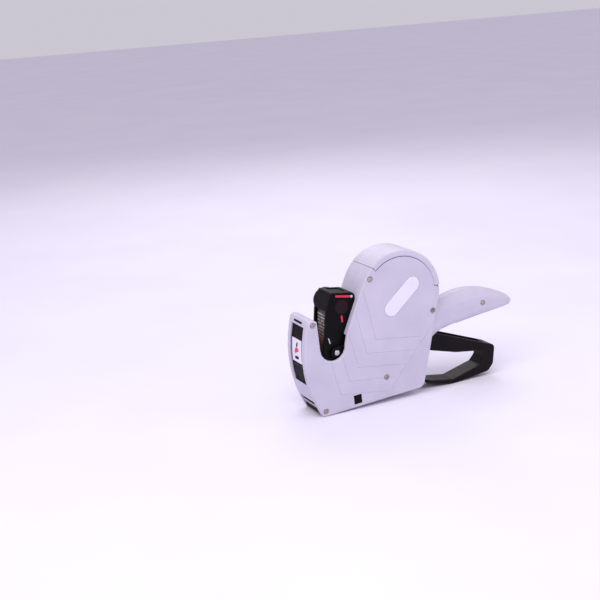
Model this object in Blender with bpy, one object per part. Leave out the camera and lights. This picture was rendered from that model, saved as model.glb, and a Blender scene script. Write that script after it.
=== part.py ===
"""Price labeling gun, built as separate pieces.

Lengths are millimetres in the gun's own frame: x runs from the nose to the handle, z up from the
base, y = 0 is the joint between the two shells. Each mesh is scaled to metres as it is made. One
empty, "stance", leans the gun so that it stands on the front of its base and on the lever.
"""
import math

import bmesh
import bpy
from mathutils import Matrix, Vector

MM = 0.001
GAP = 0.3
RUN = 0.15

# Stance on the floor
LEAN_DEG = 3.94
STANCE_SHIFT = (-86.2, -2.45, 0.27)

# Casing
HALF_WIDTH = 17.0
WALL = 2.0
INNER_HALF = HALF_WIDTH - WALL
EDGE_ROUND = 1.4
DRUM = (78.5, 86.5)
DRUM_R = 38.3
NOSE_ARC = (91.0, 46.6)
NOSE_R = 107.2
NOTCH = (10.7, 57.5)
NOTCH_R = 11.5
REAR_FOOT_X = 92.5
REAR_SLOPE = 0.30
FRONT_FOOT = (24.8, 66.0)
TAPER_DEG = 2.0
CREASE = ((109.2, 56.8), (52.9, -0.2))

# Top cover
COVER_R = 38.7
FLANGE_R = 33.3
COVER_FRONT_DEG = 129.0
COVER_HINGE = (115.5, 87.3)
BARREL_R = 1.8

# Bottom cover and platen
BASE_FRONT = 5.6
BASE_REAR = 86.5
BASE_T = 2.0
BASE_HINGE = (84.0, 2.7)
BLOCK_Z = 2.3
PLATEN_TOP = 21.4
PLATEN_X = (7.8, 25.0)

# Lever and head arms
PIVOT = (96.0, 48.0)
LEVER_AXIS = (PIVOT[0], 0.0, PIVOT[1])
LEVER_HALF = 9.0
DRIVE_PIN = (82.0, 48.6)
HEAD_SCREW = (15.3, 51.0)
ARM_Y = (11.3, 13.3)
SPRING_AT = (84.0, 0.0)
SPRING_Z = (16.3, 42.2)
SPRING_R = 4.0
SPRING_WIRE_R = 0.5
SPRING_TURNS = 7

# Print head
HEAD_HALF = 11.0
CHEEK = 2.0
HEAD_BACK = 1.2
HEAD_FOOT = (13.5, 55.8)
HEAD_FOOT_R = 9.6
SELECTOR = (25.9, 87.8)
ANVIL = (12.8, 50.2)
GUIDE = (16.4, 83.0)
GUIDE_R = 2.8
BAND_COUNT = 8
BAND_PITCH = 2.05
BAND_W = 1.75
WHEEL_R = 5.0
ANVIL_R = 3.0
BAND_T = 1.1
KNOB_R = 10.8
KNOB_Y = (17.8, 22.2)

# Ink, dispensing and feed
INK_PIVOT = (-7.5, 22.0)
INK_ROLLER = (-2.0, 50.0)
INK_R = 5.0
DOOR_Z = (29.6, 79.0)
DOOR_HALF = 11.0
DOOR_DEPTH = 1.2
DOOR_T = 1.6
NOSE_AXLE = (-2.7, 4.5)
NOSE_ROLLER_R = 4.2
FEED = (38.0, 22.0)
FEED_R = 9.0
PAWL_PIVOT = (52.5, 27.5)
ROLL_R = 30.0
CORE_R = 13.5
BUTTON_X = (24.0, 31.6)
BUTTON_Z = (2.9, 11.1)

# Screws: place in the side view, height of the head's seat above the middle plane, column radius
SCREWS = {
    "screw_top": ((51.3, 106.9), 15.7, 2.7),
    "screw_rear": ((108.1, 65.7), 15.7, 2.8),
    "screw_lower": ((57.1, 18.8), 15.7, 3.2),
    "screw_nose_axle": (NOSE_AXLE, 15.7, 0.0),
    "screw_nose": ((-5.0, 80.8), 15.7, 2.8),
    "screw_handle": ((163.0, 57.4), 8.9, 3.2),
}
SCREW_HEAD_R = 2.45
SHANK_R = 1.3

# Handle stations: x, top, underside, half width
HANDLE = (
    (101.0, 79.0, 36.5, 15.6), (107.0, 76.5, 39.0, 14.9), (113.0, 73.0, 41.6, 13.2),
    (119.0, 71.0, 43.3, 12.2), (126.0, 70.6, 43.9, 11.3), (135.0, 72.4, 44.4, 10.8),
    (145.0, 73.3, 45.0, 10.6), (156.0, 72.3, 45.7, 10.4), (168.0, 69.2, 46.5, 10.3),
    (179.0, 64.6, 47.1, 9.9), (187.0, 60.4, 47.5, 9.0), (192.5, 56.8, 48.0, 7.4),
    (196.0, 53.0, 49.4, 4.2),
)

MATERIALS = {
    "shell_white": ((0.66, 0.63, 0.74), 0.42, 0.0),
    "cover_white": ((0.70, 0.67, 0.78), 0.40, 0.0),
    "black_plastic": ((0.018, 0.016, 0.018), 0.38, 0.0),
    "red_plastic": ((0.85, 0.03, 0.08), 0.35, 0.0),
    "steel": ((0.62, 0.60, 0.58), 0.30, 1.0),
    "screw_steel": ((0.50, 0.44, 0.38), 0.32, 1.0),
    "rubber_grey": ((0.22, 0.22, 0.24), 0.80, 0.0),
    "band_rubber": ((0.30, 0.27, 0.25), 0.70, 0.0),
    "wheel_plastic": ((0.75, 0.74, 0.72), 0.45, 0.0),
    "felt_ink": ((0.05, 0.02, 0.10), 0.95, 0.0),
    "label_paper": ((0.88, 0.87, 0.84), 0.85, 0.0),
    "cardboard": ((0.42, 0.30, 0.18), 0.90, 0.0),
    "card_white": ((0.86, 0.84, 0.90), 0.50, 0.0),
}


def clear_scene():
    for item in list(bpy.data.objects):
        bpy.data.objects.remove(item, do_unlink=True)
    for group in list(bpy.data.collections):
        bpy.data.collections.remove(group)


def new_collection(name):
    group = bpy.data.collections.new(name)
    bpy.context.scene.collection.children.link(group)
    return group


clear_scene()
PARTS = new_collection("price_labeling_gun")
CUTTERS = new_collection("cutters")
CUTTERS.hide_render = True
STANCE = bpy.data.objects.new("stance", None)
PARTS.objects.link(STANCE)
STANCE.rotation_euler = (0.0, -math.radians(LEAN_DEG), 0.0)
STANCE.location = [MM * value for value in STANCE_SHIFT]


def surface(slot):
    if slot in bpy.data.materials:
        return bpy.data.materials[slot]
    colour, roughness, metallic = MATERIALS[slot]
    material = bpy.data.materials.new(slot)
    material.use_nodes = True
    shader = material.node_tree.nodes["Principled BSDF"]
    shader.inputs["Base Color"].default_value = (*colour, 1.0)
    shader.inputs["Roughness"].default_value = roughness
    shader.inputs["Metallic"].default_value = metallic
    return material


# ---------------------------------------------------------------- outlines in the side view

def arc(centre, radius, start, end, count):
    angles = [math.radians(start + (end - start) * i / (count - 1)) for i in range(count)]
    return [(centre[0] + radius * math.cos(a), centre[1] + radius * math.sin(a)) for a in angles]


def circle(centre, radius, count=24):
    return arc(centre, radius, 0.0, 360.0, count + 1)[:-1]


def rounded(corners, steps=3):
    """A closed outline whose corners (x, z, radius) are rounded; a corner without a radius is sharp."""
    outline = []
    total = len(corners)
    for i, corner in enumerate(corners):
        here = Vector(corner[:2])
        radius = corner[2] if len(corner) > 2 else 0.0
        if radius <= 0.0:
            outline.append(tuple(here))
            continue
        before = (Vector(corners[i - 1][:2]) - here).normalized()
        after = (Vector(corners[(i + 1) % total][:2]) - here).normalized()
        half = before.angle(after) / 2.0
        centre = here + (before + after).normalized() * (radius / math.sin(half))
        start = here + before * (radius / math.tan(half)) - centre
        sweep = start.angle_signed(here + after * (radius / math.tan(half)) - centre)
        for step in range(steps + 1):
            turn = Matrix.Rotation(-sweep * step / steps, 2)
            outline.append(tuple(centre + turn @ start))
    return outline


def shrunk(corners, depth):
    """The corner list moved inwards by depth, with its radii adjusted to stay concentric."""
    if depth == 0.0:
        return corners
    points = [Vector(corner[:2]) for corner in corners]
    area = sum(a.x * b.y - b.x * a.y for a, b in zip(points, points[1:] + points[:1]))
    side = 1.0 if area > 0 else -1.0
    moved = []
    for i, (corner, here) in enumerate(zip(corners, points)):
        before = (here - points[i - 1]).normalized()
        after = (points[(i + 1) % len(points)] - here).normalized()
        normal = Vector((-before.y, before.x)) + Vector((-after.y, after.x))
        normal.normalize()
        step = side * depth / max(0.35, normal.dot(Vector((-before.y, before.x))))
        radius = 0.0
        if len(corner) > 2:
            convex = side * (before.x * after.y - before.y * after.x) > 0.0
            radius = max(0.05, corner[2] - depth if convex else corner[2] + depth)
        moved.append((*(here + normal * step), radius))
    return moved


def capsule(first, second, r_first, r_second, count=7):
    """Two circles joined by their outer tangents."""
    run = Vector(second) - Vector(first)
    heading = math.degrees(math.atan2(run.y, run.x))
    spread = math.degrees(math.acos((r_first - r_second) / run.length))
    far = arc(second, r_second, heading - spread, heading + spread, count)
    return far + arc(first, r_first, heading + spread, heading + 360.0 - spread, count)


def stretched_round(circles, count=28):
    """The outline of a band pulled tight round several circles, given as centre and radius."""
    points = sorted(point for centre, radius in circles for point in circle(centre, radius, count))
    outline = []
    for line in (points, points[::-1]):
        chain = []
        for point in line:
            while len(chain) > 1 and (
                    (chain[-1][0] - chain[-2][0]) * (point[1] - chain[-2][1])
                    <= (chain[-1][1] - chain[-2][1]) * (point[0] - chain[-2][0])):
                chain.pop()
            chain.append(point)
        outline += chain[:-1]
    return outline


def sector(centre, inner, outer, start, end, count=22):
    return arc(centre, outer, start, end, count) + arc(centre, inner, end, start, count)


def nose_x(z, inwards=0.0):
    reach = NOSE_R - inwards
    return NOSE_ARC[0] - math.sqrt(reach * reach - (z - NOSE_ARC[1]) ** 2)


def nose_curve(z_from, z_to, inwards, count):
    steps = [z_from + (z_to - z_from) * i / (count - 1) for i in range(count)]
    return [(nose_x(z, inwards), z) for z in steps]


def body_corners():
    rear_angle = -math.degrees(math.atan(REAR_SLOPE))
    foot = Vector(FRONT_FOOT)
    reach = Vector(DRUM) - foot
    front_angle = math.degrees(math.atan2(reach.y, reach.x) + math.asin(DRUM_R / reach.length)) + 90.0
    corners = [(nose_x(0.0), 0.0, 2.5), (REAR_FOOT_X, 0.0, 6.0)]
    corners += arc(DRUM, DRUM_R, rear_angle, front_angle, 28)
    corners += [(*FRONT_FOOT, 1.5)]
    corners += arc(NOTCH, NOTCH_R, 0.0, -180.0, 10)
    corners += [(NOTCH[0] - NOTCH_R, 82.8, 1.8), (-8.6, 87.8, 4.0)]
    corners += nose_curve(77.0, 4.0, 0.0, 9)
    return corners


def head_corners():
    corners = [(17.2, 102.0, 1.5), (15.3, 98.5), (10.7, 87.0, 8.0), (7.3, 67.5, 8.0)]
    corners += arc(HEAD_FOOT, HEAD_FOOT_R, 190.0, 358.0, 9)
    corners += [(26.6, 69.3, 12.0), (37.8, 90.0, 4.0), (38.9, 97.7, 3.5)]
    return corners


def head_outline(depth=0.0):
    return rounded(shrunk(head_corners(), depth))


# ---------------------------------------------------------------- solid bits, in millimetres

def bit_box(x, y, z):
    """A block given by its (low, high) pairs."""
    bm = bmesh.new()
    size = [pair[1] - pair[0] for pair in (x, y, z)]
    middle = [(pair[1] + pair[0]) / 2.0 for pair in (x, y, z)]
    place = Matrix.Translation(middle) @ Matrix.Diagonal((*size, 1.0))
    bmesh.ops.create_cube(bm, size=1.0, matrix=place)
    return bm


def bit_rod(centre, radius, y, count=18):
    """A round bar along y."""
    bm = bmesh.new()
    place = Matrix.Translation((centre[0], (y[0] + y[1]) / 2.0, centre[1]))
    place = place @ Matrix.Rotation(math.radians(-90.0), 4, "X")
    bmesh.ops.create_cone(bm, cap_ends=True, segments=count, radius1=radius, radius2=radius,
                          depth=y[1] - y[0], matrix=place)
    return bm


def bit_plate(outlines, y):
    """A flat outline, with any holes, made as a filled 2D curve between two y planes."""
    curve = bpy.data.curves.new("outline", "CURVE")
    curve.dimensions = "2D"
    curve.fill_mode = "BOTH"
    curve.extrude = (y[1] - y[0]) / 2.0
    for outline in outlines:
        spline = curve.splines.new("POLY")
        spline.points.add(len(outline) - 1)
        for point, place in zip(spline.points, outline):
            point.co = (place[0], place[1], 0.0, 1.0)
        spline.use_cyclic_u = True
    bm = mesh_of_curve(curve)
    place = Matrix.Translation((0.0, (y[0] + y[1]) / 2.0, 0.0)) @ Matrix.Rotation(math.radians(90.0), 4, "X")
    bmesh.ops.transform(bm, matrix=place, verts=bm.verts)
    return bm


def mesh_of_curve(curve):
    holder = bpy.data.objects.new("outline", curve)
    bpy.context.scene.collection.objects.link(holder)
    graph = bpy.context.evaluated_depsgraph_get()
    mesh = bpy.data.meshes.new_from_object(holder.evaluated_get(graph))
    bm = bmesh.new()
    bm.from_mesh(mesh)
    bmesh.ops.remove_doubles(bm, verts=bm.verts, dist=1e-4)
    bpy.data.objects.remove(holder, do_unlink=True)
    bpy.data.curves.remove(curve)
    bpy.data.meshes.remove(mesh)
    return bm


def bit_slab(corners, y, edge, steps=2):
    """A flat shape between two y planes with all its edges rounded."""
    rings = []
    for direction, face in ((-1.0, y[0]), (1.0, y[1])):
        stack = []
        for step in range(steps + 1):
            angle = math.pi / 2.0 * step / steps
            outline = rounded(shrunk(corners, edge * (1.0 - math.cos(angle))))
            level = face - direction * edge * (1.0 - math.sin(angle))
            stack.append([(px, level, pz) for px, pz in outline])
        rings += stack if direction > 0.0 else stack[::-1]
    return bit_loft(rings)


def bit_turned(centre, profile, count=18):
    """A profile of (radius, y) points turned about a line along y."""
    bm = bmesh.new()
    verts = [bm.verts.new((centre[0] + r, y, centre[1])) for r, y in profile]
    pairs = list(zip(verts, verts[1:]))
    if profile[0][0] > 0.0:
        pairs.append((verts[-1], verts[0]))
    edges = [bm.edges.new(pair) for pair in pairs]
    bmesh.ops.spin(bm, geom=verts + edges, cent=(centre[0], 0.0, centre[1]), axis=(0.0, 1.0, 0.0),
                   angle=math.tau, steps=count, use_duplicate=False)
    bmesh.ops.remove_doubles(bm, verts=bm.verts, dist=1e-4)
    return bm


def bit_loft(rings):
    """Equal rings of points joined in order and closed at both ends."""
    bm = bmesh.new()
    rows = [[bm.verts.new(point) for point in ring] for ring in rings]
    count = len(rows[0])
    for near, far in zip(rows, rows[1:]):
        for i in range(count):
            j = (i + 1) % count
            bm.faces.new((near[i], near[j], far[j], far[i]))
    bm.faces.new(rows[0])
    bm.faces.new(rows[-1])
    return bm


def joined(bits):
    """One mesh in metres from separate closed bits, with every face outwards."""
    whole = bmesh.new()
    for bit in bits:
        bmesh.ops.recalc_face_normals(bit, faces=bit.faces)
        mesh = bpy.data.meshes.new("bit")
        bit.to_mesh(mesh)
        bit.free()
        whole.from_mesh(mesh)
        bpy.data.meshes.remove(mesh)
    bmesh.ops.scale(whole, vec=(MM, MM, MM), verts=whole.verts)
    return whole


def place_object(name, bits, group, pivot):
    whole = joined(bits)
    shift = Vector(pivot) * MM
    bmesh.ops.translate(whole, vec=-shift, verts=whole.verts)
    mesh = bpy.data.meshes.new(name)
    whole.to_mesh(mesh)
    whole.free()
    item = bpy.data.objects.new(name, mesh)
    group.objects.link(item)
    item.parent = STANCE
    item.location = shift
    return item


def make(name, slot, *bits, pivot=(0.0, 0.0, 0.0)):
    item = place_object(name, bits, PARTS, pivot)
    item.data.materials.append(surface(slot))
    for face in item.data.polygons:
        face.use_smooth = True
    item.data.set_sharp_from_angle(angle=math.radians(35.0))
    return item


def combine(item, operation, bits):
    """A live Boolean. The solid-only solver keeps faces that lie in one plane joined."""
    cutter = place_object(f"{item.name}_{operation.lower()}_{len(item.modifiers)}", bits, CUTTERS, (0, 0, 0))
    cutter.hide_render = True
    cutter.display_type = "WIRE"
    change = item.modifiers.new(operation.lower(), "BOOLEAN")
    change.operation = operation
    change.object = cutter
    change.solver = "MANIFOLD"


def cut(item, *bits):
    combine(item, "DIFFERENCE", bits)


def add(item, *bits):
    combine(item, "UNION", bits)


def keep(item, *bits):
    combine(item, "INTERSECT", bits)


def at_side(side, low, high):
    """The (low, high) pair measured outwards from the middle plane on one side."""
    return (low, high) if side > 0 else (-high, -low)


# ---------------------------------------------------------------- casing

def handle_ring(station, shrink, count=20):
    x, top, low, half = station
    top -= shrink
    low += shrink
    half -= shrink
    middle = (top + low) / 2.0
    ring = []
    for i in range(count):
        angle = math.tau * i / count
        power = 0.92 if math.sin(angle) > 0.0 else 0.42
        y = half * math.copysign(abs(math.cos(angle)) ** power, math.cos(angle))
        z = middle + (top - low) / 2.0 * math.copysign(abs(math.sin(angle)) ** power, math.sin(angle))
        ring.append((x, y, z))
    return ring


def handle_bit(shrink):
    stations = HANDLE
    if shrink > 0.0:
        stations = [s for s in HANDLE if 104.0 < s[0] < 195.0]
    return bit_loft([handle_ring(station, shrink) for station in stations])


def taper_bit(side):
    """A wedge whose inner face leans into the side plate behind the crease."""
    start = Vector((CREASE[1][0], 0.0, CREASE[1][1]))
    along = (Vector((CREASE[0][0], 0.0, CREASE[0][1])) - start).normalized()
    across = Vector((along.z, 0.0, -along.x))
    outward = Vector((0.0, side, 0.0))
    bm = bit_box((-90.0, 150.0), (0.0, 60.0), (0.0, 8.0))
    lean = Matrix.Rotation(-math.radians(TAPER_DEG), 4, "X")
    frame = Matrix((along, across, outward)).transposed().to_4x4()
    shift = Matrix.Translation(start + outward * HALF_WIDTH)
    bmesh.ops.transform(bm, matrix=shift @ frame @ lean, verts=bm.verts)
    return bm


def shell_columns(side):
    bits = []
    for centre, _, column in SCREWS.values():
        if column > 0.0:
            reach = 9.5 if centre[0] > 120.0 else 15.5
            bits.append(bit_rod(centre, column, at_side(side, -1.0, reach), 20))
    bits.append(bit_rod(NOSE_AXLE, 2.7, at_side(side, 13.5, 15.6), 20))
    bits.append(bit_rod(DRUM, CORE_R - 1.3, at_side(side, 6.0, 15.6), 24))
    bits.append(bit_rod(PIVOT, 4.6, at_side(side, 13.8, 15.6), 18))
    bits.append(bit_rod(FEED, 3.4, at_side(side, 13.6, 15.6), 20))
    bits.append(bit_rod(INK_PIVOT, 2.7, at_side(side, 13.6, 15.6), 20))
    bits.append(bit_box((78.0, 92.0), at_side(side, -1.0, 15.5), (14.0, 16.0)))
    return bits


def cover_ears(side):
    hx, hz = COVER_HINGE
    outline = [(112.2, 78.0), (115.9, 78.0), (hx + 1.6, hz - 1.0)]
    outline += arc(COVER_HINGE, 1.9, -20.0, 180.0, 9)
    return bit_plate([outline], at_side(side, 12.0, 14.6))


def shell_openings(side):
    """Everything cut from one shell, as groups of bits that don't touch each other."""
    full = (-HALF_WIDTH - 1.0, HALF_WIDTH + 1.0)
    cover_zone = sector(DRUM, FLANGE_R - GAP, 46.0, 0.0, COVER_FRONT_DEG + 0.45)
    notch_room = [(-3.2, 81.0), (-3.2, NOTCH[1])]
    notch_room += arc(NOTCH, NOTCH_R + 2.4, 180.0, 360.0, 9)
    notch_room += [(27.4, 65.0), (20.0, 65.0), (20.0, 81.0)]
    head_room = [(20.0, 64.5), (27.8, 64.5), (42.0, 93.0), (28.0, 93.0)]
    door_axis = door_hinge()
    return [
        [bit_plate([cover_zone], full)],
        [bit_plate([notch_room], (-INNER_HALF, INNER_HALF)),
         bit_box((-25.0, 2.5), (-13.2, 13.2), (-5.0, 14.3)),
         bit_box((BASE_FRONT - GAP, BASE_REAR + GAP), (-INNER_HALF, INNER_HALF), (-5.0, 5.0)),
         bit_box((95.0, 136.0), (-LEVER_HALF - 0.35, LEVER_HALF + 0.35), (23.5, 51.6))],
        [bit_box((-25.0, -8.9), (-DOOR_HALF - GAP, DOOR_HALF + GAP), (DOOR_Z[0], DOOR_Z[1] + GAP)),
         bit_plate([head_room], (-HEAD_HALF - 0.5, HEAD_HALF + 0.5))],
        [bit_rod(door_axis, 1.5, (-DOOR_HALF - GAP, DOOR_HALF + GAP), 20),
         bit_rod(COVER_HINGE, 2.15, (-11.9, 11.9), 24)],
        [bit_rod(COVER_HINGE, 2.15, at_side(side, 14.6, 18.0), 24),
         bit_box(BUTTON_X, at_side(side, 14.0, 18.0), BUTTON_Z)],
    ]


def door_hinge():
    """Axis of the ink door's trunnions, in the middle of the door's thickness."""
    z = DOOR_Z[0] + 0.5
    return (nose_x(z, DOOR_DEPTH + DOOR_T / 2.0), z)


def shell_sockets(side):
    """Holes for screws and pins in one shell."""
    bits = []
    for centre, seat, _ in SCREWS.values():
        if side < 0:
            bits.append(bit_turned(centre, [(0.0, 1.0), (SHANK_R + RUN, 1.0), (SHANK_R + RUN, -seat),
                                            (SCREW_HEAD_R + 0.3, -seat), (SCREW_HEAD_R + 0.3, -19.0),
                                            (0.0, -19.0)]))
        else:
            bits.append(bit_rod(centre, SHANK_R + RUN, (-1.0, min(seat, 14.9)), 24))
    bits.append(bit_rod(PIVOT, 2.5 + RUN, at_side(side, 10.0, 15.2)))
    bits.append(bit_rod(FEED, 1.8 + RUN, at_side(side, 10.0, 15.2)))
    bits.append(bit_rod(INK_PIVOT, 1.2 + RUN, at_side(side, 10.0, 15.2)))
    bits.append(bit_rod(BASE_HINGE, 1.4, at_side(side, 14.0, 15.75)))
    bits.append(bit_rod(COVER_HINGE, 1.15, at_side(side, 11.0, 13.9), 20))
    bits.append(bit_rod(door_hinge(), 0.95, at_side(side, 11.0, 13.0), 20))
    if side > 0:
        bits.append(bit_rod(PAWL_PIVOT, 1.0 + RUN, (7.0, 15.7), 20))
    return bits


def badge_outline(grow=0.0):
    return capsule((68.6, 77.0), (90.6, 93.6), 6.6 + grow, 6.6 + grow, 12)


def shell(name, side):
    body = make(name, "shell_white", bit_slab(body_corners(), (-HALF_WIDTH, HALF_WIDTH), EDGE_ROUND))
    add(body, handle_bit(0.0))
    cut(body, bit_plate([rounded(shrunk(body_corners(), WALL))], (-INNER_HALF, INNER_HALF)))
    cut(body, handle_bit(WALL))
    cut(body, taper_bit(side))
    add(body, *shell_columns(side))
    for group in shell_openings(side):
        cut(body, *group)
    add(body, cover_ears(side))
    if side > 0:
        add(body, bit_rod(PAWL_PIVOT, 2.2, (9.6, 15.6), 20))
    cut(body, *shell_sockets(side))
    if side < 0:
        cut(body, bit_plate([badge_outline(0.25)], (-18.0, -16.4)))
    keep(body, bit_box((-60.0, 240.0), at_side(side, GAP / 2.0, 40.0), (-40.0, 180.0)))
    return body


def shell_screw(name):
    centre, seat, _ = SCREWS[name]
    head = -seat - 0.1
    tip = 14.5 if seat > 12.0 else 8.2
    return make(name, "screw_steel", bit_turned(centre, [
        (0.0, tip), (SHANK_R, tip), (SHANK_R, head), (SCREW_HEAD_R, head),
        (SCREW_HEAD_R, head - 0.4), (SCREW_HEAD_R - 0.7, head - 0.95), (0.0, head - 1.1)], 14))


# ---------------------------------------------------------------- covers

def top_cover():
    hx, hz = COVER_HINGE
    start = math.degrees(math.asin((hz - DRUM[1]) / FLANGE_R)) * 0.32
    band = sector(DRUM, FLANGE_R, COVER_R, start, COVER_FRONT_DEG, 24)
    cover = make("top_cover", "cover_white", bit_slab(band, (-HALF_WIDTH, HALF_WIDTH), 1.2),
                 pivot=(hx, 0.0, hz))
    hollow = sector(DRUM, FLANGE_R - 3.0, DRUM_R - WALL, -8.0, COVER_FRONT_DEG + 6.0, 26)
    cut(cover, bit_plate([hollow], (-INNER_HALF, INNER_HALF)))
    cut(cover, bit_box((hx - 6.0, hx + 6.0), (-18.0, 18.0), (hz - 6.0, hz)))
    cut(cover, bit_rod(COVER_HINGE, 2.25, (-15.0, -11.6), 24), bit_rod(COVER_HINGE, 2.25, (11.6, 15.0), 24))
    add(cover, bit_rod(COVER_HINGE, BARREL_R, (-11.5, 11.5), 24))
    add(cover, bit_rod(COVER_HINGE, 0.9, (-13.6, 13.6), 16))
    return cover


def bottom_cover():
    hx, hz = BASE_HINGE
    plate = bit_box((BASE_FRONT, hx), (-14.7, 14.7), (0.2, 0.2 + BASE_T))
    cover = make("bottom_cover", "shell_white", plate, pivot=(hx, 0.0, hz))
    add(cover, bit_rod(BASE_HINGE, 2.4, (-14.7, 14.7), 24))
    add(cover, bit_rod(BASE_HINGE, 1.1, (-15.6, 15.6), 16))
    return cover


def platen_block():
    """The hollow block on the bottom cover that carries the pad, open towards the cover."""
    outline = [(PLATEN_X[0] + 0.5, BLOCK_Z), (PLATEN_X[1] + 8.0, BLOCK_Z), (PLATEN_X[1] - 1.0, PLATEN_TOP - 2.6),
               (PLATEN_X[0] + 0.5, PLATEN_TOP - 2.6)]
    block = make("platen_block", "shell_white", bit_plate([outline], (-9.0, 9.0)),
                 pivot=(BASE_HINGE[0], 0.0, BASE_HINGE[1]))
    cut(block, bit_box((PLATEN_X[0] + 2.5, PLATEN_X[1] - 3.0), (-7.2, 7.2), (BLOCK_Z - 3.0, PLATEN_TOP - 4.6)))
    return block


def platen_pad():
    pad = rounded([(PLATEN_X[0], PLATEN_TOP - 2.3), (PLATEN_X[1], PLATEN_TOP - 2.3),
                   (PLATEN_X[1], PLATEN_TOP - 0.4, 1.0), (PLATEN_X[0], PLATEN_TOP - 0.4, 1.0)])
    return make("platen_pad", "rubber_grey", bit_plate([pad], (-10.5, 10.5)),
                pivot=(BASE_HINGE[0], 0.0, BASE_HINGE[1]))


def latch_button(name, side):
    x, z = BUTTON_X, BUTTON_Z
    face = bit_box((x[0] + GAP, x[1] - GAP), at_side(side, 13.5, 16.7), (z[0] + GAP, z[1] - GAP))
    button = make(name, "black_plastic", face, pivot=(sum(x) / 2.0, 15.0 * side, sum(z) / 2.0))
    add(button, bit_box((x[0] - 1.1, x[1] + 1.1), at_side(side, 13.3, 14.7), (z[0] + GAP, z[1] + 1.1)))
    return button


# ---------------------------------------------------------------- lever and print head

def lever_corners():
    """The front arm with its hub, the deep upper arm, and the hand loop below it."""
    return [(80.0, 43.6, 2.0), (90.0, 42.6, 3.0), (96.0, 41.0, 3.0), (106.2, 27.6, 4.0), (132.0, 18.9, 30.0),
            (161.4, 13.0, 2.0), (160.8, 6.0, 3.0), (155.5, 0.6, 3.0), (127.0, -5.0, 3.0), (106.5, -0.6, 3.0),
            (99.2, 2.6, 0.9), (97.2, 1.2, 0.9), (100.8, -2.0, 1.5), (122.0, -8.4, 3.0), (126.8, -9.0, 2.0),
            (163.5, -7.2, 4.5), (169.4, -1.5, 4.0), (172.6, 15.4, 3.5), (163.0, 19.6, 6.0), (112.0, 42.4, 9.0),
            (99.0, 53.6, 4.0), (76.5, 52.6, 2.0), (76.5, 45.6, 2.0)]


def lever():
    item = make("trigger_lever", "black_plastic", bit_slab(lever_corners(), (-LEVER_HALF, LEVER_HALF), 0.7),
                pivot=LEVER_AXIS)
    trough = rounded([(108.6, 30.8, 4.0), (132.0, 22.6, 30.0), (161.5, 17.0, 2.0), (166.0, 30.0), (118.0, 60.0),
                      (103.0, 60.0), (103.0, 40.0, 2.0)])
    cut(item, bit_plate([trough], (-LEVER_HALF + 1.8, LEVER_HALF - 1.8)),
        bit_rod(PIVOT, 2.5 + RUN, (-12.0, 12.0)), bit_rod(DRIVE_PIN, 1.5 + 0.1, (-12.0, 12.0), 20))
    return item


def turned_pin(name, centre, radius, reach, pivot=None):
    chamfer = min(0.3, radius * 0.3)
    return make(name, "steel", bit_turned(centre, [
        (0.0, -reach), (radius - chamfer, -reach), (radius, chamfer - reach), (radius, reach - chamfer),
        (radius - chamfer, reach), (0.0, reach)]), pivot=pivot or (centre[0], 0.0, centre[1]))


def head_arm(name, side):
    outline = capsule(HEAD_SCREW, PIVOT, 5.4, 6.0, 12)
    holes = [circle(HEAD_SCREW, SHANK_R + 0.1, 20), circle(DRIVE_PIN, 1.6, 20), circle(PIVOT, 2.5 + RUN, 28)]
    return make(name, "black_plastic", bit_plate([outline, *holes], at_side(side, *ARM_Y)),
                pivot=LEVER_AXIS)


def head_screw(name, side):
    seat = ARM_Y[1] + 0.1
    profile = [(0.0, 8.75), (SHANK_R, 8.75), (SHANK_R, seat), (2.5, seat), (2.5, seat + 0.5),
               (1.7, seat + 1.0), (0.0, seat + 1.1)]
    return make(name, "steel", bit_turned(HEAD_SCREW, [(r, side * y) for r, y in profile], 20),
                pivot=LEVER_AXIS)


def head_housing():
    """Far cheek, back, top and upper front plate of the head, open below and at the lower front."""
    outline = head_outline()
    housing = make("head_housing", "black_plastic", bit_plate([outline], (-HEAD_HALF + CHEEK + GAP, HEAD_HALF)),
                   pivot=LEVER_AXIS)
    cut(housing, bit_plate([head_outline(HEAD_BACK)], (-20.0, HEAD_HALF - CHEEK)))
    front = [(0.0, 40.0), (21.0, 40.0), (21.5, 54.5), (16.0, 70.0), (15.0, 86.5), (0.0, 90.5)]
    cut(housing, bit_plate([front], (-20.0, HEAD_HALF - CHEEK)))
    top_tilt = math.radians(-11.2)
    pocket = bit_box((-6.0, 6.0), (-5.5, 8.5), (-0.7, 3.0))
    place = Matrix.Translation((27.5, 0.0, 99.9)) @ Matrix.Rotation(-top_tilt, 4, "Y")
    bmesh.ops.transform(pocket, matrix=place, verts=pocket.verts)
    cut(housing, bit_rod(SELECTOR, 2.4, (8.0, 12.0), 24), bit_rod(HEAD_SCREW, SHANK_R + 0.1, (8.0, 12.0), 20),
        pocket)
    return housing


def head_side_plate():
    plate = make("head_side_plate", "black_plastic",
                 bit_plate([head_outline(), circle(SELECTOR, 6.5, 32), circle(HEAD_SCREW, SHANK_R + 0.1, 20)],
                           (-HEAD_HALF, CHEEK - HEAD_HALF)), pivot=LEVER_AXIS)
    return plate


def side_cap():
    low = -HEAD_HALF
    return make("head_side_cap", "black_plastic", bit_turned(SELECTOR, [
        (0.0, low + 1.9), (6.2, low + 1.9), (6.2, low + 0.3), (5.9, low), (0.0, low)], 32),
        pivot=LEVER_AXIS)


def pointer_bar():
    y = (-HEAD_HALF - 0.75, -HEAD_HALF - 0.05)
    bar = capsule((21.4, 98.4), (33.0, 95.6), 0.9, 0.9, 6)
    return make("pointer_bar", "red_plastic", bit_plate([bar], y), pivot=LEVER_AXIS)


def pointer_rivet():
    y = -HEAD_HALF - 0.05
    return make("pointer_rivet", "steel", bit_turned((35.4, 95.0), [
        (0.0, y), (1.25, y), (1.25, y - 0.6), (0.8, y - 0.95), (0.0, y - 1.05)], 16),
        pivot=LEVER_AXIS)


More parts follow.
